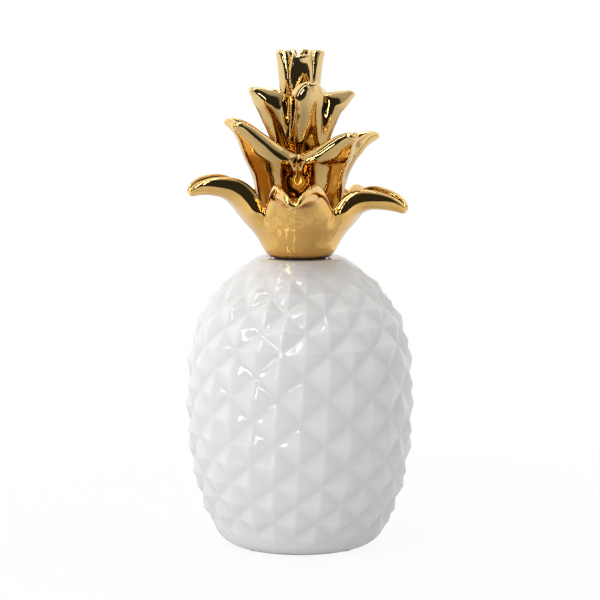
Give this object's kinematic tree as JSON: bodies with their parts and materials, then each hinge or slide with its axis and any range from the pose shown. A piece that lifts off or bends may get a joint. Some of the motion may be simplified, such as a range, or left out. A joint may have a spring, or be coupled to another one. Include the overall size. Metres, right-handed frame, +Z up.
{
  "type": "pineapple figurine",
  "caption": "Hollow ceramic pineapple ornament with a diamond-relief white glazed body and a lift-off gold leaf crown.",
  "frame": {"origin": "on the surface it stands on, under the middle of the body", "axes": "+Z up along the body's axis towards the crown, -Y the pictured front, +X to the viewer's right"},
  "size_m": [0.142, 0.1418, 0.3054],
  "materials": {
    "white_glaze": "glossy white glaze over slip-cast earthenware",
    "gold_lustre": "mirror-bright gold lustre over glazed ceramic",
    "felt": "dense felt, matte"
  },
  "bodies": {
    "jar": {"body_shell": "white_glaze", "foot_pad_1": "felt", "foot_pad_2": "felt", "foot_pad_3": "felt", "foot_pad_4": "felt"},
    "crown_lid": {"crown_lower_leaves": "gold_lustre", "crown_middle_leaves": "gold_lustre", "crown_upper_leaves": "gold_lustre", "crown_tip_leaves": "gold_lustre"}
  },
  "joints": [
    {"name": "crown_lift", "type": "slide", "parent": "jar", "child": "crown_lid", "axis": [0, 0, 1], "range_m": [0, 0.05]}
  ]
}
